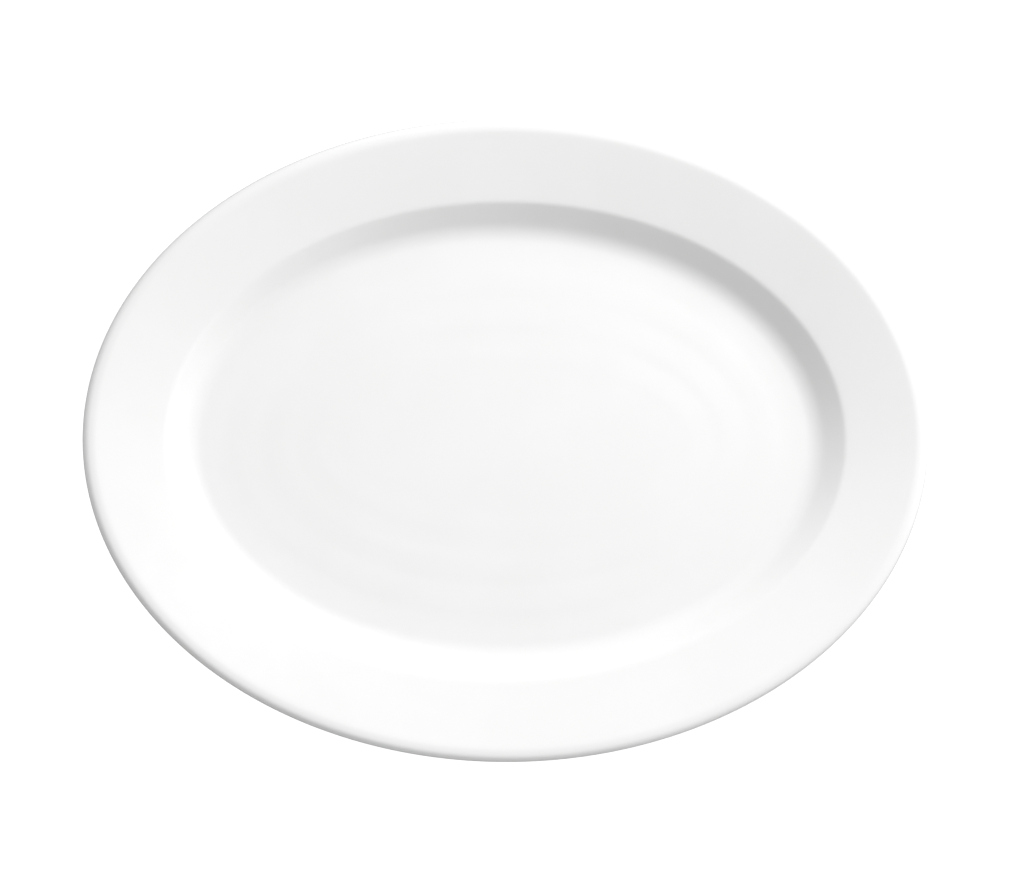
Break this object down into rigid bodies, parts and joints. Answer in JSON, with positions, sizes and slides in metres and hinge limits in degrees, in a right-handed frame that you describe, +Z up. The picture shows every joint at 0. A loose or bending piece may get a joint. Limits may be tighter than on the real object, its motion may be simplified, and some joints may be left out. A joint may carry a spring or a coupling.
{
  "type": "serving platter",
  "caption": "Oval white china serving platter with a wide sloping rim, a rolled lip, a smooth round-cornered well and a dry foot ring, for serving food at table.",
  "frame": {"origin": "centre of the plane that the foot ring rests on", "axes": "+Z up out of the well, +X along the platter's long axis, +Y across it"},
  "size_m": [0.33, 0.251, 0.027],
  "materials": {
    "bisque": "unglazed vitrified china, matt, ground smooth on the foot",
    "glaze": "bright white gloss glaze"
  },
  "bodies": {
    "root": {"china_body": "bisque", "face_glaze": "glaze", "base_glaze": "glaze"}
  },
  "joints": []
}
